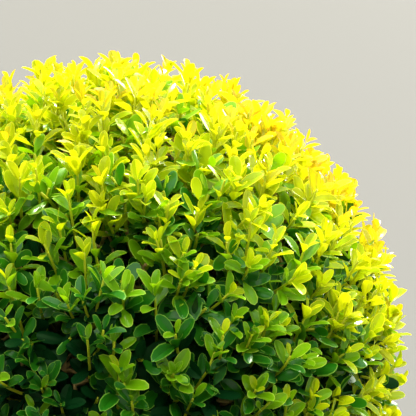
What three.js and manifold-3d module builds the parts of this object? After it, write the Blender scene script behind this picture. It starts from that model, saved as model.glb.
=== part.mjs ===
// A clipped box ball, rooted in the ground. A short stem with a flared foot forks into boughs,
// and each bough carries one mass of the ball's leafy shell, which is hollow inside.
// Millimetres, +Z up, front towards -Y. The origin is the middle of the flat cut under the stem.
import * as THREE from "three";
import { mergeVertices } from "three/addons/utils/BufferGeometryUtils.js";
import Module from "manifold-3d";

const wasm = await Module();
wasm.setup();

// The ball
const ballRadius = 250; // from the middle of the ball to the furthest leaf tips
const ballHeight = 257; // of the middle of the ball above the ground
const shootDepth = 27; // of the outer layer, where leafy shoots stand clear of each other
const shellDepth = 50; // of the dense foliage under that layer
const shellDetail = 4; // of the shell's outer surface, as a divided icosahedron
const hollowDetail = 2; // of its inner surface
const stemHoleRadius = 64; // of the bare hole in the underside, round the stem
const stemHoleSides = 18;
const leastHeight = 10; // of any leaf above the ground
const seam = 1; // left between neighbouring masses
const clearance = 0.3; // left where one piece is seated on another

// The masses lie in rings round the ball: how many, and how far their middles are from the top
const massRings = [
  { name: "top", count: 1, polarDegrees: 0, turnDegrees: 0 },
  { name: "upper", count: 5, polarDegrees: 55, turnDegrees: 20 },
  { name: "lower", count: 6, polarDegrees: 107, turnDegrees: 0 },
];

// The stem
const stemRadius = 15;
const stemTopRadius = 11.5;
const stemHeight = 118;
const stemLean = 5; // sideways, at the fork
const stemBow = 1; // sideways, across the lean, two thirds of the way up
const stemSides = 15;
const stemSteps = 9;
const rootFlare = 12; // added to the stem's radius at the ground
const rootFlareHeight = 14; // in which the flare falls to about a third
const rootLobes = 5;
const rootLobeDepth = 0.35; // of the flare
const buriedDepth = 11; // of the stem before its foot is cut flat

// The boughs, one to each mass
const boughRootRadius = 6.7;
const boughTipRadius = 4;
const boughHeights = { top: [109], upper: [91, 100], lower: [57, 72] }; // by turns round a ring
const boughRise = { top: 0, upper: 0.7, lower: 0.6 }; // of its start, for each unit outwards
const boughStartPull = 0.35; // share of its reach in which it keeps to its first direction
const boughEndPull = 0.4; // share of its reach in which it points at its mass
const boughSides = 6;
const boughSteps = 6;

// One mass: its stem, and the twigs that leave it inside the ball
const massStemReach = 34; // of the mass's stem into the hollow, to its bough's tip
const massStemSides = 5;
const innerTwigs = [0.2, 0.45, 0.7]; // where they leave the mass's stem, as shares of its reach
const innerTwigLength = 2.2; // as a share of that reach too, from the seat
const innerTwigRadius = 2;
const innerTwigSpread = 0.9; // sideways for each unit outwards

// The leafy shoots that stand out of the shell
const shootsOnBall = 120;
const shootRadius = 3.2;
const shootTipRadius = 2.1;
const shootLength = 22;
const shootSunk = 5; // of each shoot's foot in the dense foliage
const shootRise = 0.6; // how far shoots turn up towards the light
const shootWander = 0.3; // how far their directions vary
const shootDrawnIn = 0.1; // share of the way from its place towards the middle of its mass
const shootSizes = { least: 0.85, most: 1 };
const leafThickness = 1.8;
const leafSunk = 0.5; // of each leaf's root past the middle of its shoot
const leafWidest = 0.6; // of its length, from the root
const leafPairs = [
  { along: 0.45, spreadDegrees: 68, length: 41, width: 19 },
  { along: 0.82, spreadDegrees: 44, length: 28, width: 14 },
];
const leafTries = [
  { spread: 1, length: 1 },
  { spread: 1, length: 0.9 },
  { spread: 0.9, length: 0.8 },
  { spread: 0.8, length: 0.7 },
]; // shares of a leaf's spread and length, until it keeps to its mass's space

const barkColour = 0x7d6a4c;
const youngLeafColour = 0xb4c81e;
const matureLeafColour = 0x3f7a24;

const coreRadius = ballRadius - shootDepth;
const hollowRadius = coreRadius - shellDepth;
const middle = new THREE.Vector3(0, 0, ballHeight);
const up = new THREE.Vector3(0, 0, 1);
const goldenAngle = Math.PI * (3 - Math.sqrt(5));

// A seeded stream of numbers from 0 to 1
function numbersFrom(seed) {
  let state = seed;
  return () => {
    state = (state + 0x6d2b79f5) | 0;
    let mixed = Math.imul(state ^ (state >>> 15), 1 | state);
    mixed = (mixed + Math.imul(mixed ^ (mixed >>> 7), 61 | mixed)) ^ mixed;
    return ((mixed ^ (mixed >>> 14)) >>> 0) / 2 ** 32;
  };
}

// A closed geometry as a solid, with its shared corners merged
function solidOf(geometry) {
  const shape = geometry.clone();
  shape.deleteAttribute("normal");
  shape.deleteAttribute("uv");
  const merged = mergeVertices(shape, 1e-4);
  const mesh = new wasm.Mesh({
    numProp: 3,
    vertProperties: merged.attributes.position.array,
    triVerts: new Uint32Array(merged.index.array),
  });
  return new wasm.Manifold(mesh);
}

// A solid as a named mesh
function meshOf(name, solid, material) {
  const { vertProperties, triVerts } = solid.getMesh();
  const geometry = new THREE.BufferGeometry();
  geometry.setAttribute("position", new THREE.BufferAttribute(vertProperties, 3));
  geometry.setIndex(new THREE.BufferAttribute(triVerts, 1));
  geometry.computeVertexNormals();
  const mesh = new THREE.Mesh(geometry, material);
  mesh.name = name;
  return mesh;
}

// A limb: a cylinder bent along a curve, whose radius depends on how far along and round it is
function limbAlong(curve, radiusAt, sides, steps) {
  const geometry = new THREE.CylinderGeometry(1, 1, 1, sides, steps);
  const frames = curve.computeFrenetFrames(steps, false);
  const places = geometry.attributes.position;
  for (let i = 0; i < places.count; i += 1) {
    const [x, y, z] = [places.getX(i), places.getY(i), places.getZ(i)];
    const step = Math.round((y + 0.5) * steps);
    const radius = radiusAt(step / steps, Math.atan2(z, x));
    const place = curve
      .getPointAt(step / steps)
      .addScaledVector(frames.binormals[step], x * radius)
      .addScaledVector(frames.normals[step], z * radius);
    places.setXYZ(i, place.x, place.y, place.z);
  }
  return solidOf(geometry);
}

// The turn that brings a shape drawn along +Y to a direction
function turnTo(along) {
  return new THREE.Quaternion().setFromUnitVectors(new THREE.Vector3(0, 1, 0), along);
}

// A straight twig that tapers from one point to another
function twigShape(from, to, rootRadius, tipRadius, sides) {
  const length = from.distanceTo(to);
  const geometry = new THREE.CylinderGeometry(tipRadius, rootRadius, length, sides);
  geometry.translate(0, length / 2, 0);
  geometry.applyQuaternion(turnTo(to.clone().sub(from).normalize()));
  return geometry.translate(from.x, from.y, from.z);
}

// A direction by its angle from the top and its angle round from the front
function directionAt(polar, azimuth) {
  const level = Math.sin(polar);
  return new THREE.Vector3(
    level * Math.sin(azimuth),
    -level * Math.cos(azimuth),
    Math.cos(polar),
  );
}

// The masses' names and the directions of their middles
const masses = massRings.flatMap((ring) =>
  Array.from({ length: ring.count }, (_, i) => ({
    ring: ring.name,
    place: i,
    name: ring.count > 1 ? `${ring.name}_${i + 1}` : ring.name,
    outwards: directionAt(
      THREE.MathUtils.degToRad(ring.polarDegrees),
      THREE.MathUtils.degToRad(ring.turnDegrees) + (i * 2 * Math.PI) / ring.count,
    ),
  })),
);

// A mass's space is what lies nearer to its middle than to its neighbours'. Each wall is a plane
// through the middle of the ball, given by its direction away from the mass
function wallsOf(mass) {
  return masses
    .filter((other) => other !== mass && other.outwards.dot(mass.outwards) > -0.5)
    .map((other) => other.outwards.clone().sub(mass.outwards).normalize());
}

function insideSpace(point, walls) {
  const place = point.clone().sub(middle);
  return (
    walls.every((wall) => wall.dot(place) < -seam / 2) &&
    place.length() < ballRadius &&
    point.z > leastHeight
  );
}

// The stem, from its flat cut at the ground to its fork. The cut takes off what would be below
function stem(grow) {
  const curve = new THREE.CatmullRomCurve3([
    new THREE.Vector3(0, 0, -buriedDepth),
    new THREE.Vector3(0, 0, stemHeight / 3),
    new THREE.Vector3(stemLean * 0.6, stemBow, (stemHeight * 2) / 3),
    new THREE.Vector3(stemLean, 0, stemHeight),
  ]);
  const radiusAt = (share, angle) => {
    const height = Math.max(share * (stemHeight + buriedDepth) - buriedDepth, 0);
    const flare = rootFlare * Math.exp(-height / rootFlareHeight);
    const lobes = 1 + rootLobeDepth * Math.cos(rootLobes * angle);
    return THREE.MathUtils.lerp(stemRadius, stemTopRadius, share) + flare * lobes + grow;
  };
  const size = 2 * stemHeight;
  const ground = new THREE.BoxGeometry(size, size, size).translate(0, 0, -size / 2);
  return limbAlong(curve, radiusAt, stemSides, stemSteps).subtract(solidOf(ground));
}

// Where a bough's tip meets the stem of its mass
function seatOf(mass) {
  return middle.clone().addScaledVector(mass.outwards, hollowRadius - massStemReach);
}

// A bough leaves the stem at its own height, and turns until it points straight out at its mass
function bough(mass, grownStem) {
  const heights = boughHeights[mass.ring];
  const height = heights[mass.place % heights.length];
  const root = new THREE.Vector3(stemLean * (height / stemHeight), 0, height);
  const tip = seatOf(mass);
  const reach = tip.distanceTo(root);
  const level = new THREE.Vector3(mass.outwards.x, mass.outwards.y, 0).normalize();
  const start = mass.ring === "top" ? up : level.addScaledVector(up, boughRise[mass.ring]);
  const curve = new THREE.CubicBezierCurve3(
    root,
    root.clone().addScaledVector(start.clone().normalize(), reach * boughStartPull),
    tip.clone().addScaledVector(mass.outwards, -reach * boughEndPull),
    tip,
  );
  const radiusAt = (share) => THREE.MathUtils.lerp(boughRootRadius, boughTipRadius, share);
  return limbAlong(curve, radiusAt, boughSides, boughSteps).subtract(grownStem);
}

// The dense foliage of a mass: its share of a thick round shell, cut by its walls and the stem's hole
function denseFoliage(walls) {
  const round = (radius, detail) =>
    solidOf(new THREE.IcosahedronGeometry(radius, detail).translate(0, 0, ballHeight));
  const size = 4 * ballRadius;
  let shell = round(coreRadius, shellDetail).subtract(round(hollowRadius, hollowDetail));
  for (const wall of walls) {
    const beyond = new THREE.BoxGeometry(size, size, size).translate(0, size / 2 - seam / 2, 0);
    beyond.applyQuaternion(turnTo(wall));
    shell = shell.subtract(solidOf(beyond.translate(0, 0, ballHeight)));
  }
  const hole = new THREE.CylinderGeometry(stemHoleRadius, stemHoleRadius, ballHeight, stemHoleSides);
  return shell.subtract(solidOf(hole.rotateX(Math.PI / 2).translate(0, 0, ballHeight / 2)));
}

// A keeled leaf: two three-sided cones mouth to mouth, pressed flat, broadest past its middle
function leafShape(root, along, across, length, width) {
  const face = new THREE.Vector3().crossVectors(across, along).normalize();
  const outline = [
    new THREE.Vector2(0, 0),
    new THREE.Vector2(1, leafWidest),
    new THREE.Vector2(0, 1),
  ];
  const geometry = new THREE.LatheGeometry(outline, 3);
  const places = geometry.attributes.position;
  for (let i = 0; i < places.count; i += 1) {
    const place = root
      .clone()
      .addScaledVector(along, places.getY(i) * length)
      .addScaledVector(across, (places.getX(i) * width) / Math.sqrt(3))
      .addScaledVector(face, (places.getZ(i) * leafThickness) / 1.5);
    places.setXYZ(i, place.x, place.y, place.z);
  }
  return geometry;
}

// Whether every corner of a geometry lies inside the mass's space
function keepsInside(geometry, walls) {
  const places = geometry.attributes.position;
  const corners = Array.from({ length: places.count }, (_, i) =>
    new THREE.Vector3().fromBufferAttribute(places, i),
  );
  return corners.every((corner) => insideSpace(corner, walls));
}

// One leaf at a node of a shoot. It is made shorter until it keeps to the mass's space
function leafOn(shoot, leaf, side, walls) {
  const node = shoot.foot.clone().lerp(shoot.tip, leaf.along);
  const shapes = leafTries.map((share) => {
    const spread = THREE.MathUtils.degToRad(leaf.spreadDegrees) * share.spread;
    const along = shoot.along
      .clone()
      .multiplyScalar(Math.cos(spread))
      .addScaledVector(side, Math.sin(spread));
    const across = new THREE.Vector3().crossVectors(along, shoot.along).normalize();
    const root = node.clone().addScaledVector(along, -leafSunk);
    const length = leaf.length * shoot.size * share.length;
    return leafShape(root, along, across, length, leaf.width * shoot.size);
  });
  return shapes.find((shape) => keepsInside(shape, walls));
}

// A leafy shoot: a four-sided twig with opposite pairs of leaves, one pair across the other,
// and each leaf on the middle of a side
function leafyShoot(outwards, random, walls) {
  const wander = () => shootWander * (random() - 0.5);
  const along = outwards.clone().addScaledVector(up, shootRise);
  along.add(new THREE.Vector3(wander(), wander(), wander())).normalize();
  const size = THREE.MathUtils.lerp(shootSizes.least, shootSizes.most, random());
  const foot = middle.clone().addScaledVector(outwards, coreRadius - shootSunk);
  const tip = foot.clone().addScaledVector(along, shootLength * size);
  const twig = twigShape(foot, tip, shootRadius, shootTipRadius, 4);
  if (!keepsInside(twig, walls)) return [];
  const shoot = { foot, tip, along, size };
  const leaves = leafPairs.flatMap((pair, i) => {
    const side = new THREE.Vector3(1, 0, i % 2 ? -1 : 1).normalize().applyQuaternion(turnTo(along));
    return [leafOn(shoot, pair, side, walls), leafOn(shoot, pair, side.clone().negate(), walls)];
  });
  return [twig, ...leaves.filter((leaf) => leaf)].map(solidOf);
}

// The directions in which shoots leave the ball, in even golden-angle steps from the top down
function shootDirections() {
  const lowest = Math.sqrt(1 - (stemHoleRadius / coreRadius) ** 2);
  return Array.from({ length: shootsOnBall }, (_, i) => {
    const height = 1 - ((i + 0.5) / shootsOnBall) * (1 + lowest);
    return directionAt(Math.acos(height), i * goldenAngle);
  });
}

// The mass's own stem, from its bough's tip into the dense foliage, and the twigs that leave it
function massStem(mass) {
  const from = seatOf(mass).addScaledVector(mass.outwards, clearance);
  const to = middle.clone().addScaledVector(mass.outwards, hollowRadius + shellDepth / 2);
  const sideways = new THREE.Vector3(0.3, 0.4, 0.5).cross(mass.outwards).normalize();
  const twigs = innerTwigs.map((share, i) => {
    const turn = (i * 2 * Math.PI) / innerTwigs.length;
    const side = sideways.clone().applyAxisAngle(mass.outwards, turn);
    const along = mass.outwards.clone().addScaledVector(side, innerTwigSpread).normalize();
    const fork = from.clone().addScaledVector(mass.outwards, massStemReach * share);
    const end = fork.clone().addScaledVector(along, massStemReach * (innerTwigLength - share));
    return twigShape(fork, end, innerTwigRadius, innerTwigRadius / 2, 3);
  });
  const main = twigShape(from, to, boughTipRadius, boughTipRadius / 2, massStemSides);
  return [main, ...twigs].map(solidOf);
}

function foliageMass(mass, directions) {
  const walls = wallsOf(mass);
  const nearest = (outwards) =>
    masses.every((other) => other.outwards.dot(outwards) <= mass.outwards.dot(outwards));
  const random = numbersFrom(11 + masses.indexOf(mass));
  const shoots = directions
    .filter(nearest)
    .map((outwards) => outwards.clone().lerp(mass.outwards, shootDrawnIn).normalize())
    .flatMap((outwards) => leafyShoot(outwards, random, walls));
  return wasm.Manifold.union([denseFoliage(walls), ...massStem(mass), ...shoots]);
}

function finish(color, roughness) {
  return new THREE.MeshStandardMaterial({ color, roughness, metalness: 0 });
}

const bark = finish(barkColour, 0.85);
const youngLeaf = finish(youngLeafColour, 0.45);
const matureLeaf = finish(matureLeafColour, 0.4);

const boxBall = new THREE.Group();
const grownStem = stem(clearance);
const directions = shootDirections();
boxBall.add(meshOf("stem", stem(0), bark));
for (const mass of masses) {
  const leafMaterial = mass.ring === "lower" ? matureLeaf : youngLeaf;
  boxBall.add(meshOf(`bough_${mass.name}`, bough(mass, grownStem), bark));
  boxBall.add(meshOf(`foliage_${mass.name}`, foliageMass(mass, directions), leafMaterial));
}

export default boxBall;
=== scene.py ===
# A clipped box ball, seen close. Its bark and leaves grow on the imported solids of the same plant
import math

import bpy
import numpy as np
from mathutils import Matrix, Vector


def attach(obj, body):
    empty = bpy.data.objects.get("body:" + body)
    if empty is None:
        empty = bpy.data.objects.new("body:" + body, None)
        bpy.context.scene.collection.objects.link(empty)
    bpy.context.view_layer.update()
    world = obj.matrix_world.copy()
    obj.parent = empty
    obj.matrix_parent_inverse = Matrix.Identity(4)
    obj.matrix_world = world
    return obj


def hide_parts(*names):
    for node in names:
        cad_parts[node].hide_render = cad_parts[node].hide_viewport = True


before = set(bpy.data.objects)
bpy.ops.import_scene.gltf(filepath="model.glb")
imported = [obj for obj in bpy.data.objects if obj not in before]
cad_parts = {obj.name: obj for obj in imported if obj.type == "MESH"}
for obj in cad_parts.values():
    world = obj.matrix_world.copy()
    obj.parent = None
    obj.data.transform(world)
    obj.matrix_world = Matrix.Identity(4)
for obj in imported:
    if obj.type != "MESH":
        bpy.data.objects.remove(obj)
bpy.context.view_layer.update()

print("frame loaded:", len(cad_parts), "nodes")

# The ball, in metres, as the solids have it
ball = {
    "radius": 0.250,       # to the solids' furthest leaf tips
    "overgrowth": 0.006,   # that the tips of the finer leaves may stand past them
    "height": 0.257,       # of its middle above the ground
    "hollow": 0.173,       # inside the dense foliage
    "stemHole": 0.064,     # bare round the stem, underneath
    "leastHeight": 0.010,  # of any leaf above the ground
    "seatDepth": 0.034,    # from the hollow's wall in to a bough's tip
}
# The foliage masses stand in rings, at an angle from the top and turned from the front, in degrees
rings = [
    {"name": "top", "count": 1, "polar": 0, "turn": 0},
    {"name": "upper", "count": 5, "polar": 55, "turn": 20},
    {"name": "lower", "count": 6, "polar": 107, "turn": 0},
]
middle = np.array([0, 0, ball["height"]])
upward = np.array([0.0, 0.0, 1.0])
goldenAngle = math.pi * (3 - math.sqrt(5))


# Array helpers
def unit(vectors):
    # each vector over its own length, guarded against a length of nothing
    shortest = 1e-12
    return vectors / np.maximum(np.linalg.norm(vectors, axis=-1, keepdims=True), shortest)


def mix(a, b, share):
    return a + (b - a) * share


def anglesRound(count):
    # even steps of one whole turn
    return np.arange(count) * 2 * math.pi / count


def directionAt(polar, azimuth):
    # a unit vector by its angle from the top and its angle round from the front
    level = np.sin(polar)
    return np.stack([level * np.sin(azimuth), -level * np.cos(azimuth), np.cos(polar)], axis=-1)


def spreadDirections(count, lowest, jitter, chance):
    # even golden-angle steps from the top down to height lowest, each moved by a little noise
    steps = np.arange(count) + 0.5
    heights = 1 - steps / count * (1 - lowest)
    directions = directionAt(np.arccos(heights), steps * goldenAngle)
    return unit(directions + chance.normal(0, jitter, directions.shape))


def nearestOf(directions, others):
    # for each direction the number of the other direction that it is closest to
    return np.argmax(directions @ others.T, axis=1)


def curvesBetween(start, startAlong, end, endAlong, pulls, steps):
    # cubic Bezier curves whose inner points lie along the two end directions, at the pulls times the reach
    reach = np.linalg.norm(end - start, axis=-1, keepdims=True)
    corners = [start, start + startAlong * reach * pulls[0], end - endAlong * reach * pulls[1], end]
    t = np.linspace(0, 1, steps)
    weights = [(1 - t) ** 3, 3 * t * (1 - t) ** 2, 3 * t**2 * (1 - t), t**3]
    return sum(weight[None, :, None] * corner[:, None, :] for weight, corner in zip(weights, corners))


def tapers(ends, steps, count):
    # radii that go evenly from the first end to the second, the same for each of count paths
    return np.tile(np.linspace(*ends, steps), (count, 1))


def framesAlong(paths):
    # tangents by differences, and two directions across them that start from one fixed side per path
    nearlyUpright = 0.9
    tangents = unit(np.gradient(paths, axis=1))
    overall = unit(paths[:, -1] - paths[:, 0])
    helper = np.where(np.abs(overall[:, 2:3]) < nearlyUpright, [[0.0, 0.0, 1.0]], [[1.0, 0.0, 0.0]])
    side = unit(np.cross(overall, helper))[:, None, :]
    side = unit(side - (side * tangents).sum(-1, keepdims=True) * tangents)
    return tangents, side, np.cross(tangents, side)


def alongPaths(values, share):
    # values given at even steps of each path, read between them at the shares asked for
    steps = values.shape[1]
    place = np.clip(share, 0, 1) * (steps - 1)
    low = np.minimum(place.astype(int), steps - 2)
    path = np.arange(len(values))[:, None]
    return mix(values[path, low], values[path, low + 1], (place - low)[..., None])


def tubes(paths, radii, sides):
    # circles of points round each path, at radius times cos and sin across it, closed by a point at each end
    count, steps = paths.shape[:2]
    tangents, side, other = framesAlong(paths)
    angle = anglesRound(sides)
    across = side[:, :, None] * np.cos(angle)[:, None] + other[:, :, None] * np.sin(angle)[:, None]
    circles = paths[:, :, None] + across * radii[:, :, None, None]
    points = np.concatenate([circles.reshape(count, -1, 3), paths[:, :1], paths[:, -1:]], axis=1)
    here = np.arange((steps - 1) * sides)
    beside = here // sides * sides + (here + 1) % sides
    first = np.arange(sides)
    after = (first + 1) % sides
    last = (steps - 1) * sides
    corners = np.concatenate([
        np.stack([here, beside, beside + sides], 1),
        np.stack([here, beside + sides, here + sides], 1),
        np.stack([after, first, np.full(sides, steps * sides)], 1),
        np.stack([last + first, last + after, np.full(sides, steps * sides + 1)], 1),
    ])
    return points, corners


# Materials
def newMaterial(name):
    made = bpy.data.materials.new(name)
    made.use_nodes = True
    made.node_tree.nodes.clear()
    return made, made.node_tree.nodes, made.node_tree.links


def growthMaterial(name, look):
    # for leaves and smooth stems: one plain colour with a gloss and a wax coat, and some light let through
    made, nodes, links = newMaterial(name)
    output = nodes.new("ShaderNodeOutputMaterial")
    shader = nodes.new("ShaderNodeBsdfPrincipled")
    shader.inputs["Base Color"].default_value = (*look["colour"], 1)
    shader.inputs["Roughness"].default_value = look["roughness"]
    shader.inputs["Specular IOR Level"].default_value = look["gloss"]
    shader.inputs["Specular Tint"].default_value = (*look["glossTint"], 1)
    shader.inputs["Coat Weight"].default_value = look["wax"]
    shader.inputs["Coat Roughness"].default_value = look["waxRoughness"]
    through = nodes.new("ShaderNodeBsdfTranslucent")
    through.inputs["Color"].default_value = (*look["through"], 1)
    both = nodes.new("ShaderNodeMixShader")
    both.inputs["Fac"].default_value = look["letThrough"]
    links.new(shader.outputs["BSDF"], both.inputs[1])
    links.new(through.outputs["BSDF"], both.inputs[2])
    links.new(both.outputs["Shader"], output.inputs["Surface"])
    return made


def barkMaterial(name, look):
    # cork and lichen tints mixed by noise on Object coordinates, with fine grain as bump
    made, nodes, links = newMaterial(name)
    output = nodes.new("ShaderNodeOutputMaterial")
    shader = nodes.new("ShaderNodeBsdfPrincipled")
    shader.inputs["Roughness"].default_value = look["roughness"]
    place = nodes.new("ShaderNodeTexCoord")
    patches = nodes.new("ShaderNodeTexNoise")
    patches.inputs["Scale"].default_value = look["patches"]
    patches.inputs["Detail"].default_value = look["patchDetail"]
    tint = nodes.new("ShaderNodeValToRGB")
    tint.color_ramp.elements[0].position = look["darkUpTo"]
    tint.color_ramp.elements[0].color = (*look["dark"], 1)
    tint.color_ramp.elements[1].position = look["paleFrom"]
    tint.color_ramp.elements[1].color = (*look["pale"], 1)
    grain = nodes.new("ShaderNodeTexNoise")
    grain.inputs["Scale"].default_value = look["grain"]
    grain.inputs["Detail"].default_value = look["grainDetail"]
    bump = nodes.new("ShaderNodeBump")
    bump.inputs["Strength"].default_value = look["bump"]
    bump.inputs["Distance"].default_value = look["relief"]
    links.new(place.outputs["Object"], patches.inputs["Vector"])
    links.new(place.outputs["Object"], grain.inputs["Vector"])
    links.new(patches.outputs["Fac"], tint.inputs["Fac"])
    links.new(tint.outputs["Color"], shader.inputs["Base Color"])
    links.new(grain.outputs["Fac"], bump.inputs["Height"])
    links.new(bump.outputs["Normal"], shader.inputs["Normal"])
    links.new(shader.outputs["BSDF"], output.inputs["Surface"])
    return made


def addPiece(name, shapes, material):
    # joins shapes of points (n, p, 3) and corner numbers (t, 3), the same corners for each of the n
    points, corners, start = [], [], 0
    for places, faces in shapes:
        count, size = places.shape[:2]
        offsets = start + np.arange(count)[:, None, None] * size
        points.append(places.reshape(-1, 3))
        corners.append((faces[None] + offsets).reshape(-1, 3))
        start += count * size
    points, corners = np.concatenate(points), np.concatenate(corners)
    mesh = bpy.data.meshes.new(name)
    mesh.vertices.add(len(points))
    mesh.vertices.foreach_set("co", points.astype(np.float32).ravel())
    mesh.loops.add(corners.size)
    mesh.loops.foreach_set("vertex_index", corners.astype(np.int32).ravel())
    mesh.polygons.add(len(corners))
    mesh.polygons.foreach_set("loop_start", np.arange(0, corners.size, 3, dtype=np.int32))
    mesh.polygons.foreach_set("use_smooth", np.ones(len(corners), dtype=bool))
    mesh.update(calc_edges=True)
    mesh.materials.append(material)
    piece = bpy.data.objects.new(name, mesh)
    bpy.context.scene.collection.objects.link(piece)
    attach(piece, "root")
    print(name, len(corners), "triangles")
    return piece


# The foliage masses of the solids
def placeMasses():
    # their names, and the direction of each from the ball's middle: even steps round the upright axis
    placed = []
    for ring in rings:
        for number, step in enumerate(anglesRound(ring["count"])):
            azimuth = math.radians(ring["turn"]) + step
            placed.append({
                "name": ring["name"] + (f"_{number + 1}" if ring["count"] > 1 else ""),
                "ring": ring["name"],
                "number": number,
                "out": directionAt(math.radians(ring["polar"]), azimuth),
            })
    return placed


masses = placeMasses()
massNames = [mass["name"] for mass in masses]
massOut = np.array([mass["out"] for mass in masses])
# The boughs end at the seats, and lowestHeight is the foliage's lowest edge, on a ball of radius one
seats = middle + massOut * (ball["hollow"] - ball["seatDepth"])
lowestHeight = -math.sqrt(1 - (ball["stemHole"] / ball["radius"]) ** 2)

# The stem and the boughs, in metres, with bark that stands up in ridges and knots
limbs = {
    "stemHeight": 0.118, "stemLean": 0.005, "leanCurve": 1.4, "stemBow": 0.001,
    "stemRadius": 0.015, "stemTopRadius": 0.0115, "stemSteps": 60, "stemSides": 60, "stemSeed": 3,
    "rootFlare": 0.012, "rootFlareHeight": 0.014, "rootLobes": 5, "rootLobeDepth": 0.35,
    "boughRadii": (0.0067, 0.004), "boughSteps": 40, "boughSides": 20, "boughSeed": 4,
    "boughHeights": {"top": [0.109], "upper": [0.091, 0.100], "lower": [0.057, 0.072]},
    "boughRise": {"top": 1, "upper": 0.7, "lower": 0.6},
    "boughPulls": (0.35, 0.4),
}
relief = {
    "ridges": 9, "ridgeDepth": 0.07,  # how many round a limb, and their depth as a share of its radius
    "climb": 9, "sway": 1.4,          # the angle that a limb's length stands for, and how far ridges sway
    "knots": 2, "knotDepth": 0.035,   # how many round a limb, and their depth as a share of its radius
    "knotTurns": 3.1,                 # how fast the knots turn, as a multiple of the climb
}


def ridged(paths, radii, sides, seed):
    # tubes whose radius is multiplied by 1 + ridgeDepth * sin(ridges * angle + sway * sin(climb) + start)
    # + knotDepth * sin(knots * angle + knotTurns * climb + start), where start is each limb's own
    points, corners = tubes(paths, radii, sides)
    count, steps = paths.shape[:2]
    angle = anglesRound(sides)[None, None]
    climb = (np.arange(steps) / steps * relief["climb"])[None, :, None]
    start = np.random.default_rng(seed).uniform(0, 2 * math.pi, (count, 1, 1))
    ridge = np.sin(relief["ridges"] * angle + relief["sway"] * np.sin(climb) + start)
    knot = np.sin(relief["knots"] * angle + relief["knotTurns"] * climb + start)
    swell = 1 + relief["ridgeDepth"] * ridge + relief["knotDepth"] * knot
    circles = points[:, :-2].reshape(count, steps, sides, 3)
    circles = paths[:, :, None] + (circles - paths[:, :, None]) * swell[..., None]
    points[:, :-2] = circles.reshape(count, -1, 3)
    return points, corners


def stemShape():
    # the source's leaning, tapering stem, pushed out level at its foot by rootFlare * exp(-height /
    # rootFlareHeight) in lobes, and flat where it is cut at the ground
    steps, sides = limbs["stemSteps"], limbs["stemSides"]
    share = np.linspace(0, 1, steps)
    height = share * limbs["stemHeight"]
    lean = limbs["stemLean"] * share ** limbs["leanCurve"]
    bow = limbs["stemBow"] * np.sin(math.pi * share)
    path = np.stack([lean, bow, height], axis=-1)[None]
    radii = tapers((limbs["stemRadius"], limbs["stemTopRadius"]), steps, 1)
    points, corners = ridged(path, radii, sides, limbs["stemSeed"])
    flare = limbs["rootFlare"] * np.exp(-height / limbs["rootFlareHeight"])
    lobes = 1 + limbs["rootLobeDepth"] * np.cos(limbs["rootLobes"] * anglesRound(sides))
    circles = points[:, :-2].reshape(1, steps, sides, 3)
    outwards = circles - path[:, :, None]
    outwards[..., 2] = 0
    circles = circles + unit(outwards) * (flare[:, None] * lobes[None])[None, ..., None]
    circles[:, 0, :, 2] = 0
    points[:, :-2] = circles.reshape(1, -1, 3)
    return points, corners


def boughShapes():
    # each bough leaves the stem at its height and curves to point straight out at its mass
    starts, startAlongs = [], []
    for mass in masses:
        heights = limbs["boughHeights"][mass["ring"]]
        height = heights[mass["number"] % len(heights)]
        starts.append([limbs["stemLean"] * height / limbs["stemHeight"], 0, height])
        level = unit(mass["out"] * [1, 1, 0])
        startAlongs.append(unit(level + upward * limbs["boughRise"][mass["ring"]]))
    starts, startAlongs = np.array(starts), np.array(startAlongs)
    paths = curvesBetween(starts, startAlongs, seats, massOut, limbs["boughPulls"], limbs["boughSteps"])
    radii = tapers(limbs["boughRadii"], limbs["boughSteps"], len(paths))
    return ridged(paths, radii, limbs["boughSides"], limbs["boughSeed"])


barkLook = {
    "dark": (0.085, 0.062, 0.038), "darkUpTo": 0.35, "pale": (0.30, 0.25, 0.17), "paleFrom": 0.68,
    "patches": 60, "patchDetail": 6, "roughness": 0.85,
    "grain": 900, "grainDetail": 4, "bump": 0.7, "relief": 0.0008,
}
bark = barkMaterial("bark", barkLook)
limbPiece = addPiece("bark_limbs", [stemShape(), boughShapes()], bark)
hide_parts("stem", *[f"bough_{name}" for name in massNames])

# A gloss without wax, for stems and rims, and the smooth tan wood of the branches and twigs
plainGloss = {"glossTint": (1, 1, 1), "wax": 0.0, "waxRoughness": 0.3}
woodLook = {
    **plainGloss, "colour": (0.36, 0.24, 0.08), "through": (0.2, 0.1, 0.02), "letThrough": 0.0,
    "gloss": 0.3, "roughness": 0.7,
}
woodStem = growthMaterial("wood_stem", woodLook)

# The branches and twigs that carry the shoots. Each grows on from the nearest one of the level inside it
branching = {
    "branches": {"count": 110, "radius": 0.183, "jitter": 0.05, "thick": (0.0030, 0.0021), "sides": 7},
    "twigs": {"count": 520, "radius": 0.203, "jitter": 0.05, "thick": (0.0019, 0.0013), "sides": 5},
    "unevenness": (0.97, 1.03), "sway": 0.25, "pulls": (0.4, 0.4), "steps": 7, "seed": 21,
}


def growLevel(level, parentEnds, parentOut, chance):
    # curves from the nearest parent's end to even places on a larger sphere
    out = spreadDirections(level["count"], lowestHeight, level["jitter"], chance)
    ends = middle + out * level["radius"] * chance.uniform(*branching["unevenness"], (len(out), 1))
    nearest = nearestOf(out, parentOut)
    sway = unit(out + chance.normal(0, branching["sway"], out.shape))
    starts, startAlongs = parentEnds[nearest], parentOut[nearest]
    paths = curvesBetween(starts, startAlongs, ends, sway, branching["pulls"], branching["steps"])
    radii = tapers(level["thick"], branching["steps"], len(out))
    return {"out": out, "ends": ends, "shape": tubes(paths, radii, level["sides"])}


branchChance = np.random.default_rng(branching["seed"])
branches = growLevel(branching["branches"], seats, massOut, branchChance)
twigs = growLevel(branching["twigs"], branches["ends"], branches["out"], branchChance)
addPiece("woody_twigs", [branches["shape"], twigs["shape"]], woodStem)

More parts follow.
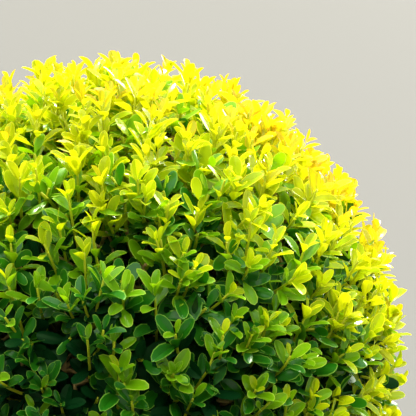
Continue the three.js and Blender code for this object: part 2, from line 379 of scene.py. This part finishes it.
# The kinds of shoot, from the outermost in, sizes in metres and angles in degrees. Tips turn up by rise, and
# by climb at the waist. The leaves begin at firstPair of a shoot's length, crowding draws the pairs together
# towards its tip, and angles are how far the first and the last pair open. The sizes go pair by pair
# from the foot, slimness is a leaf's length over its width, and bend and cup are how far it curves
shootKinds = {
    "young": {
        "count": 1020, "jitter": 0.035, "tipRadius": (0.230, 0.246), "rise": (0.4, 1.8), "climb": 0.3,
        "wander": 0.30, "length": (0.050, 0.084), "pairs": 7, "firstPair": 0.24, "crowding": 1.15,
        "thick": (0.0015, 0.0009), "angles": (63, 25), "angleCurve": 1.1, "angleJitter": 11,
        "leafLength": 0.0234, "slimness": 2.55, "sizes": (0.82, 0.96, 1.0, 1.03, 1.0, 0.88, 0.58),
        "bend": (0.03, 0.30), "cup": (0.25, 0.80), "creased": True, "rimmed": True, "seed": 31,
    },
    "mature": {
        "count": 720, "jitter": 0.05, "tipRadius": (0.212, 0.231), "rise": (0.0, 1.2), "climb": 0.2,
        "wander": 0.45, "length": (0.040, 0.058), "pairs": 5, "firstPair": 0.20, "crowding": 1.1,
        "thick": (0.0018, 0.0012), "angles": (72, 34), "angleCurve": 1.1, "angleJitter": 13,
        "leafLength": 0.0250, "slimness": 2.15, "sizes": (0.95, 1.05, 1.05, 0.95, 0.72),
        "bend": (0.0, 0.42), "cup": (-0.60, 0.25), "creased": False, "rimmed": True, "seed": 32,
    },
    "deep": {
        "count": 460, "jitter": 0.06, "tipRadius": (0.188, 0.212), "rise": (0.1, 0.9), "climb": 0.2,
        "wander": 0.8, "length": (0.034, 0.048), "pairs": 4, "firstPair": 0.3, "crowding": 1.0,
        "thick": (0.0014, 0.0011), "angles": (76, 48), "angleCurve": 1.0, "angleJitter": 18,
        "leafLength": 0.0235, "slimness": 1.95, "sizes": (1.0, 1.1, 1.0, 0.85),
        "bend": (0.0, 0.15), "cup": (0.0, 0.3), "creased": False, "rimmed": False, "seed": 33,
    },
}
# What all shoots have in common
habit = {
    "waistFall": 1.6, "leastRise": 0.1,         # under the waist the rise falls off, down to that share
    "footRise": 0.2,                            # share of the rise that a foot's direction has
    "tipWeight": 1.2,                           # of the tip's direction against the foot's in a shoot's run
    "steps": 6, "pulls": (0.35, 0.35),          # of the curves
    "groundGap": 0.004,                         # from the lowest leaves to the lowest shoot
    "linkSteps": 4, "linkRadius": 0.0014,       # of the link from a twig's end to a shoot's foot
    "pairSpread": 0.012,                        # of the pairs along a shoot, as a share of it
    "turnSpread": 0.16, "oppositeSpread": 0.1,  # in radians, of a pair's turn and of its second leaf
    "alongSpread": 0.05, "faceSpread": 0.16,    # of a leaf's direction and of its face
    "shootSizes": (0.87, 1.13),                 # chance in the size of all the leaves on a shoot
    "leafSizes": (0.88, 1.12),                  # and of each leaf
}


def growShoots(kind):
    # each shoot ends at its own place near the clipped surface, where it has turned up towards the light,
    # less so under the ball's waist, and its foot lies inwards and below, carried by a twig's end
    chance = np.random.default_rng(kind["seed"])
    out = spreadDirections(kind["count"], lowestHeight, kind["jitter"], chance)
    count = len(out)
    tips = middle + out * chance.uniform(*kind["tipRadius"], (count, 1))
    rise = chance.uniform(*kind["rise"], (count, 1)) + kind["climb"] * np.hypot(out[:, :1], out[:, 1:2])
    rise = rise * np.clip(1 + habit["waistFall"] * out[:, 2:], habit["leastRise"], 1)
    along = unit(out + upward * rise + chance.normal(0, kind["wander"], out.shape))
    length = chance.uniform(*kind["length"], (count, 1))
    footAlong = unit(out + upward * rise * habit["footRise"] + chance.normal(0, kind["wander"], out.shape))
    feet = tips - unit(along * habit["tipWeight"] + footAlong) * length
    paths = curvesBetween(feet, footAlong, tips, along, habit["pulls"], habit["steps"])
    clear = paths[..., 2].min(axis=1) > ball["leastHeight"] + habit["groundGap"]
    out, paths, feet, footAlong = out[clear], paths[clear], feet[clear], footAlong[clear]
    nearest = nearestOf(unit(feet - middle), twigs["out"])
    twigEnds, twigAlongs = twigs["ends"][nearest], twigs["out"][nearest]
    return {
        "out": out,
        "paths": paths,
        "radii": tapers(kind["thick"], habit["steps"], len(out)),
        "links": curvesBetween(twigEnds, twigAlongs, feet, footAlong, habit["pulls"], habit["linkSteps"]),
        "linkRadii": tapers((habit["linkRadius"], kind["thick"][0]), habit["linkSteps"], len(out)),
        "chance": chance,
    }


def leafDirections(kind, found, step, share):
    # opposite pairs, each a quarter turn on from the last and less open towards the tip: a leaf goes along
    # cos(opening) of its stem and sin(opening) sideways, and faces the stem's tip at right angles to that
    chance, paths = found["chance"], found["paths"]
    stemward, side, other = (unit(alongPaths(values, share))[:, :, None] for values in framesAlong(paths))
    quarters = np.arange(kind["pairs"])[None] * math.pi / 2
    turn = chance.uniform(0, 2 * math.pi, (len(paths), 1)) + quarters
    turn = turn + chance.normal(0, habit["turnSpread"], turn.shape)
    opposite = turn + math.pi + chance.normal(0, habit["oppositeSpread"], turn.shape)
    turn = np.stack([turn, opposite], axis=-1)
    sideways = side * np.cos(turn)[..., None] + other * np.sin(turn)[..., None]
    opening = mix(*kind["angles"], step ** kind["angleCurve"])[None, :, None]
    opening = np.radians(opening + chance.normal(0, kind["angleJitter"], turn.shape))[..., None]
    along = stemward * np.cos(opening) + sideways * np.sin(opening)
    along = unit(along + chance.normal(0, habit["alongSpread"], along.shape))
    face = stemward * np.sin(opening) - sideways * np.cos(opening)
    face = face + chance.normal(0, habit["faceSpread"], face.shape)
    return along, unit(face - (face * along).sum(-1, keepdims=True) * along)


def growLeaves(kind, found):
    # the pairs stand closer together towards the shoot's tip. Leaves whose own tips would stand too far out
    # of the ball, or too near the ground, are left off
    chance, paths = found["chance"], found["paths"]
    count, pairs = len(paths), kind["pairs"]
    step = np.linspace(0, 1, pairs)
    share = 1 - (1 - kind["firstPair"]) * (1 - step) ** kind["crowding"]
    share = share[None] + chance.normal(0, habit["pairSpread"], (count, pairs))
    along, face = leafDirections(kind, found, step, share)
    perLeaf = along.shape[:3]
    size = np.array(kind["sizes"])[None, :, None] * chance.uniform(*habit["shootSizes"], (count, 1, 1))
    length = kind["leafLength"] * size * chance.uniform(*habit["leafSizes"], perLeaf)
    grown = {
        "root": np.broadcast_to(alongPaths(paths, share)[:, :, None], along.shape),
        "along": along,
        "face": face,
        "length": length,
        "halfWidth": length / kind["slimness"] / 2 * chance.uniform(*habit["leafSizes"], perLeaf),
        "bend": chance.uniform(*kind["bend"], perLeaf),
        "cup": chance.uniform(*kind["cup"], perLeaf),
        "place": np.broadcast_to(step[None, :, None], perLeaf),
        "shoot": np.broadcast_to(np.arange(count)[:, None, None], perLeaf),
    }
    flat = {key: value.reshape(-1, *value.shape[3:]) for key, value in grown.items()}
    ends = flat["root"] + flat["along"] * flat["length"][:, None]
    inside = np.linalg.norm(ends - middle, axis=1) < ball["radius"] + ball["overgrowth"]
    keep = inside & (ends[:, 2] > ball["leastHeight"])
    return {key: value[keep] for key, value in flat.items()}


shoots = {name: growShoots(kind) for name, kind in shootKinds.items()}
print("shoots grown:", sum(len(found["out"]) for found in shoots.values()))
leaves = {name: growLeaves(kind, shoots[name]) for name, kind in shootKinds.items()}
print("leaves grown:", sum(len(found["length"]) for found in leaves.values()))

# Leaf outlines: a first row of shares of the length, and a second of the half width there
outlines = {
    "young": np.array([
        [0, 0.12, 0.35, 0.60, 0.82, 0.95, 1],
        [0, 0.27, 0.77, 1.00, 0.89, 0.54, 0],
    ]),
    "mature": np.array([
        [0, 0.14, 0.42, 0.72, 0.91, 0.98, 1],
        [0, 0.42, 0.94, 0.97, 0.66, 0.33, 0],
    ]),
    "deep": np.array([
        [0, 0.25, 0.62, 0.90, 1],
        [0, 0.70, 1.00, 0.60, 0],
    ]),
}
leafEdge = {
    "rimAlong": 0.045, "rimAcross": 0.12,            # the rim's widths, as shares of the outline
    "widest": 0.60, "rimFrom": 2,                    # the share and the station that the rim is set by
    "cupPower": 1.5, "roll": 0.10, "rollPower": 12,  # the blade cups, and its very edge rolls down
}


def leafPlaces(found, places):
    # the leaf's surface at shares u of its length and w of its half width, negative on its left side:
    # root + along*length*u - face*bend*length*u^2 + across*half*w
    # + face*half*(cup*|w|^cupPower - roll*|w|^rollPower)
    u, w = places[None, :, 0, None], places[None, :, 1, None]
    along, face = found["along"][:, None], found["face"][:, None]
    length, half, bend, cup = (
        found[key][:, None, None] for key in ("length", "halfWidth", "bend", "cup")
    )
    across = np.cross(along, face)
    lift = cup * np.abs(w) ** leafEdge["cupPower"] - leafEdge["roll"] * np.abs(w) ** leafEdge["rollPower"]
    return (
        found["root"][:, None]
        + along * length * u
        - face * bend * length * u**2
        + across * half * w
        + face * half * lift
    )


def insetOf(outline):
    # the outline drawn in by the rim's widths, towards its widest part and its midrib
    along, width = outline
    inAlong = leafEdge["widest"] + (along - leafEdge["widest"]) * (1 - leafEdge["rimAlong"])
    return np.stack([inAlong, width * (1 - leafEdge["rimAcross"])])


def bladeShape(found, outline, creased):
    # the blade: left edge, midrib and right edge at each station, with a point at the foot and the tip.
    # A creased blade has the midrib's points twice, once for each half
    along, width = outline
    stations = len(along) - 2
    columns = np.array([-1, 0, 0, 1] if creased else [-1, 0, 1])
    wide = len(columns)
    rows = np.repeat(along[1:-1], wide)
    across = (width[1:-1, None] * columns).ravel()
    places = np.concatenate([np.stack([rows, across], 1), [[along[0], 0], [along[-1], 0]]])
    lowest = np.array([0, wide - 2])
    highest = lowest + (stations - 1) * wide
    foot, tip = np.full(2, stations * wide), np.full(2, stations * wide + 1)
    here = (np.arange(stations - 1)[:, None] * wide + lowest[None, :]).ravel()
    corners = np.concatenate([
        np.stack([here, here + 1, here + 1 + wide], 1),
        np.stack([here, here + 1 + wide, here + wide], 1),
        np.stack([lowest + 1, lowest, foot], 1),
        np.stack([highest, highest + 1, tip], 1),
    ])
    return leafPlaces(found, places), corners


def rimShape(found, outline):
    # the rim: a strip down each side between the outline and its inset, from its first station to the tip
    along, width = outline[:, leafEdge["rimFrom"]:]
    inAlong, inWidth = insetOf(outline)[:, leafEdge["rimFrom"]:]
    count = len(along)
    edges = [
        np.stack([values, widths * side], 1)
        for side in (1, -1)
        for values, widths in ((inAlong, inWidth), (along, width))
    ]
    right = np.arange(count - 1)
    left = right + 2 * count
    corners = np.concatenate([
        np.stack([right, right + count, right + count + 1], 1),
        np.stack([right, right + count + 1, right + 1], 1),
        np.stack([left + count, left, left + 1], 1),
        np.stack([left + count, left + 1, left + count + 1], 1),
    ])
    return leafPlaces(found, np.concatenate(edges)), corners


# The tints, from the youngest and most sunlit leaves to the oldest and most shaded, each with the tint of
# its paler rim.
# The last is near-black painted shade for the gaps deep in the ball
tints = {
    "leaf_amber": {
        "colour": (0.65, 0.47, 0.010), "through": (0.84, 0.65, 0.008), "letThrough": 0.46,
        "gloss": 0.25, "wax": 1.0, "rim": "rim_amber", "slot": "young_leaf",
    },
    "leaf_gold": {
        "colour": (0.55, 0.51, 0.008), "through": (0.76, 0.69, 0.008), "letThrough": 0.46,
        "gloss": 0.25, "wax": 1.0, "rim": "rim_amber", "slot": "young_leaf",
    },
    "leaf_lime": {
        "colour": (0.47, 0.53, 0.004), "through": (0.72, 0.74, 0.004), "letThrough": 0.46,
        "gloss": 0.25, "wax": 1.0, "rim": "rim_young", "slot": "young_leaf",
    },
    "leaf_fresh": {
        "colour": (0.40, 0.54, 0.003), "through": (0.64, 0.73, 0.003), "letThrough": 0.43,
        "gloss": 0.30, "wax": 1.0, "rim": "rim_young", "slot": "young_leaf",
    },
    "leaf_green": {
        "colour": (0.170, 0.40, 0.003), "through": (0.33, 0.60, 0.002), "letThrough": 0.36,
        "gloss": 0.45, "wax": 0.90, "rim": "rim_mature", "slot": "mature_leaf",
    },
    "leaf_deep": {
        "colour": (0.013, 0.135, 0.004), "through": (0.04, 0.28, 0.003), "letThrough": 0.18,
        "gloss": 0.75, "wax": 0.80, "rim": "rim_deep", "slot": "mature_leaf",
    },
    # near-black painted shade, dealt to the inner and shaded leaves so that the gaps between leaves look
    # dark
    "leaf_painted_shade": {
        "colour": (0.0025, 0.032, 0.007), "through": (0.008, 0.05, 0.002), "letThrough": 0.10,
        "gloss": 0.30, "wax": 0.0, "rim": None, "slot": "mature_leaf",
    },
}
leafGloss = {"glossTint": (0.50, 1.0, 0.42), "roughness": 0.33, "waxRoughness": 0.12}
# The rims' paler colours are partly the leaf margins' own colour and partly painted light, the glow a thin
# rolled edge catches, painted on every edge alike
rimTints = {
    "rim_amber": {"colour": (0.85, 0.52, 0.02), "through": (0.95, 0.60, 0.01), "letThrough": 0.4},
    "rim_young": {"colour": (0.82, 0.80, 0.03), "through": (0.95, 0.9, 0.02), "letThrough": 0.4},
    "rim_mature": {"colour": (0.44, 0.64, 0.05), "through": (0.55, 0.72, 0.03), "letThrough": 0.3},
    "rim_deep": {"colour": (0.22, 0.48, 0.05), "through": (0.28, 0.52, 0.03), "letThrough": 0.3},
}
rimGloss = {**plainGloss, "gloss": 0.3, "roughness": 0.5}
leafMaterials = {name: growthMaterial(name, {**tint, **leafGloss}) for name, tint in tints.items()}
rimMaterials = {name: growthMaterial(name, {**tint, **rimGloss}) for name, tint in rimTints.items()}

# How the tints are dealt out. A grade is a place among the tints, from 0 for the youngest and palest. A
# shoot's grade starts at shaded, and falls by sunny towards the sunny side and by right towards the ball's
# right edge.
# This is partly the real yellower new growth on top and partly painted light: paler, yellower tints painted
# where the light falls, a painted golden glow at the right edge, and darker tints as painted shade on the
# shaded side. A leaf's grade goes up by age towards the shoot's foot
tinting = {
    "sunnySide": np.array([0.12, 0.22, 0.97]),  # nearly straight up, a little to the back and the right
    "sunnyFrom": 0.11, "sunnySpan": 0.75,       # the height on that side where it begins, and its span
    "shootSpread": 0.34, "leafSpread": 0.2, "seed": 41,
    "young": {"shaded": 4.2, "sunny": 3.3, "right": 2.3, "age": 2.4},
    "mature": {"shaded": 5.3, "sunny": 2.2, "right": 0, "age": 0.9},
    # the deep shoots inside mostly take the near-black painted shade tint
    "deep": {"shaded": 6.0, "sunny": 1.6, "right": 0, "age": 0.4},
}


def gradesOf(name, chance):
    # shaded - sunny*sunlit - right*toRight for each shoot, + age*(1 - place) for each leaf, both with noise
    grading, out, found = tinting[name], shoots[name]["out"], leaves[name]
    # sunlit and toRight place the painted light and the painted shade in the tints
    sunlit = np.clip((out @ tinting["sunnySide"] - tinting["sunnyFrom"]) / tinting["sunnySpan"], 0, 1)
    toRight = np.maximum(out[:, 0], 0) ** 2
    shootGrade = grading["shaded"] - grading["sunny"] * sunlit - grading["right"] * toRight
    shootGrade = shootGrade + chance.normal(0, tinting["shootSpread"], len(out))
    age = grading["age"] * (1 - found["place"])
    grade = shootGrade[found["shoot"]] + age + chance.normal(0, tinting["leafSpread"], len(age))
    return np.clip(np.round(grade), 0, len(tints) - 1).astype(int)


tintChance = np.random.default_rng(tinting["seed"])
grades = {name: gradesOf(name, tintChance) for name in shootKinds}
for kindName, kind in shootKinds.items():
    outline = outlines[kindName]
    for number, (tintName, tint) in enumerate(tints.items()):
        chosen = grades[kindName] == number
        if not chosen.any():
            continue
        some = {key: value[chosen] for key, value in leaves[kindName].items()}
        rimmed = kind["rimmed"] and tint["rim"] is not None
        blades = bladeShape(some, insetOf(outline) if rimmed else outline, kind["creased"])
        name = f"{tintName}_{kindName}"
        addPiece(name, [blades], leafMaterials[tintName])
        if rimmed:
            addPiece(f"{name}_rims", [rimShape(some, outline)], rimMaterials[tint["rim"]])

# The shoots' stems, green towards the tips of the young and the mature ones, and tan wood further in
greenLook = {
    **plainGloss, "colour": (0.58, 0.62, 0.02), "through": (0.7, 0.75, 0.02), "letThrough": 0.3,
    "gloss": 0.4, "roughness": 0.45,
}
greenStem = growthMaterial("young_stem", greenLook)
# A shoot turns green at the point greenFrom of its path, which for the deep ones is their tip
stemParts = {
    "deep": {"greenFrom": habit["steps"] - 1, "woodSides": 4},
    "mature": {"greenFrom": 3, "woodSides": 5, "greenSides": 4},
    "young": {"greenFrom": 1, "woodSides": 5, "greenSides": 5},
}


def greenShape(name):
    found, part = shoots[name], stemParts[name]
    first = part["greenFrom"]
    return tubes(found["paths"][:, first:], found["radii"][:, first:], part["greenSides"])


def woodShape(name):
    found, part = shoots[name], stemParts[name]
    end = part["greenFrom"] + 1
    return tubes(found["paths"][:, :end], found["radii"][:, :end], part["woodSides"])


def linkShape(found):
    sides = 4
    return tubes(found["links"], found["linkRadii"], sides)


greenShapes = [greenShape("young"), greenShape("mature")]
woodShapes = [woodShape(name) for name in stemParts] + [linkShape(found) for found in shoots.values()]
greenStems = addPiece("young_stems", greenShapes, greenStem)
addPiece("shoot_stems", woodShapes, woodStem)
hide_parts(*[f"foliage_{name}" for name in massNames])

# The floor, the light and the camera. The floor's own colour is dark, but it looks pale in light this strong
floor = {"side": 60.0, "colour": (0.086, 0.085, 0.092), "roughness": 0.8}


def addFloor():
    half = floor["side"] / 2
    corners = [(-half, -half, 0), (half, -half, 0), (half, half, 0), (-half, half, 0)]
    mesh = bpy.data.meshes.new("floor")
    mesh.from_pydata(corners, [], [(0, 1, 2, 3)])
    made, nodes, links = newMaterial("floor")
    output = nodes.new("ShaderNodeOutputMaterial")
    shader = nodes.new("ShaderNodeBsdfPrincipled")
    shader.inputs["Base Color"].default_value = (*floor["colour"], 1)
    shader.inputs["Roughness"].default_value = floor["roughness"]
    links.new(shader.outputs["BSDF"], output.inputs["Surface"])
    mesh.materials.append(made)
    ground = bpy.data.objects.new("floor", mesh)
    bpy.context.scene.collection.objects.link(ground)


# Each light's direction, its width in degrees, and whether it shows in a gloss. Two lights come from above,
# and one of them shows in none, so that the leaves get no grey sheen
overhead = {"from": (0.0, -0.15, 1.0), "width": 100, "colour": (0.97, 1, 0.90)}
lights = {
    "key": {
        "from": (-0.07, 0.48, 0.86), "width": 15, "colour": (1, 0.96, 0.76), "power": 7.2, "gloss": True,
    },
    "rim": {
        "from": (0.66, 0.64, 0.36), "width": 40, "colour": (1, 0.97, 0.88), "power": 6, "gloss": True,
    },
    "top": {**overhead, "power": 2.2, "gloss": True},
    "fill": {**overhead, "power": 4.1, "gloss": False},
}
sky = {"colour": (0.80, 0.96, 0.78), "strength": 0.12}


def addSun(name, settings):
    # a broad, even light from one direction, so that the floor is lit alike all over
    lamp = bpy.data.lights.new(name, "SUN")
    lamp.angle = math.radians(settings["width"])
    lamp.energy = settings["power"]
    lamp.color = settings["colour"]
    holder = bpy.data.objects.new(name, lamp)
    holder.visible_glossy = settings["gloss"]
    holder.rotation_euler = Vector(settings["from"]).to_track_quat("Z", "Y").to_euler()
    bpy.context.scene.collection.objects.link(holder)


def addWorld():
    world = bpy.data.worlds.new("studio")
    world.use_nodes = True
    background = world.node_tree.nodes["Background"]
    background.inputs["Color"].default_value = (*sky["colour"], 1)
    background.inputs["Strength"].default_value = sky["strength"]
    bpy.context.scene.world = world


view = {
    "distance": 1.354,          # in metres, from the ball's middle
    "elevation": 16,            # of the camera, seen from there, in degrees
    "azimuth": 0,               # round from the front, in degrees
    "frame": 416,               # the picture's side, in pixels
    "middlePixel": (115, 345),  # where the ball's middle falls in it
    "focalPixels": 1554,        # the focal length, in pixels
    "sensor": 36.0,             # in millimetres
    "clip": (0.01, 60),         # in metres
}


def addCamera():
    # the camera stands at its distance and elevation, turned so that the ball's middle falls on its pixel
    lens = bpy.data.cameras.new("camera")
    lens.sensor_width = view["sensor"]
    lens.lens = view["focalPixels"] / view["frame"] * view["sensor"]
    lens.clip_start, lens.clip_end = view["clip"]
    holder = bpy.data.objects.new("camera", lens)
    elevation, azimuth = math.radians(view["elevation"]), math.radians(view["azimuth"])
    outwards = Vector(directionAt(math.pi / 2 - elevation, azimuth))
    toBall = -outwards
    # the ray through that pixel, in the camera's own directions, and the turns that bring it onto the ball
    right = (view["middlePixel"][0] - view["frame"] / 2) / view["focalPixels"]
    down = (view["middlePixel"][1] - view["frame"] / 2) / view["focalPixels"]
    ray = Vector((right, -down, -1)).normalized()
    pitch = math.asin(toBall.z / math.hypot(ray.y, ray.z)) - math.atan2(ray.y, -ray.z)
    level = -ray.y * math.sin(pitch) - ray.z * math.cos(pitch)
    yaw = math.atan2(-toBall.x, toBall.y) - math.atan2(-ray.x, level)
    holder.location = Vector(middle) + outwards * view["distance"]
    holder.rotation_euler = (math.pi / 2 + pitch, 0, yaw)
    bpy.context.scene.collection.objects.link(holder)
    bpy.context.scene.camera = holder


addFloor()
for name, settings in lights.items():
    addSun(name, settings)
addWorld()
addCamera()
bpy.context.scene.view_settings.view_transform = "Standard"
print("floor, light and camera set")
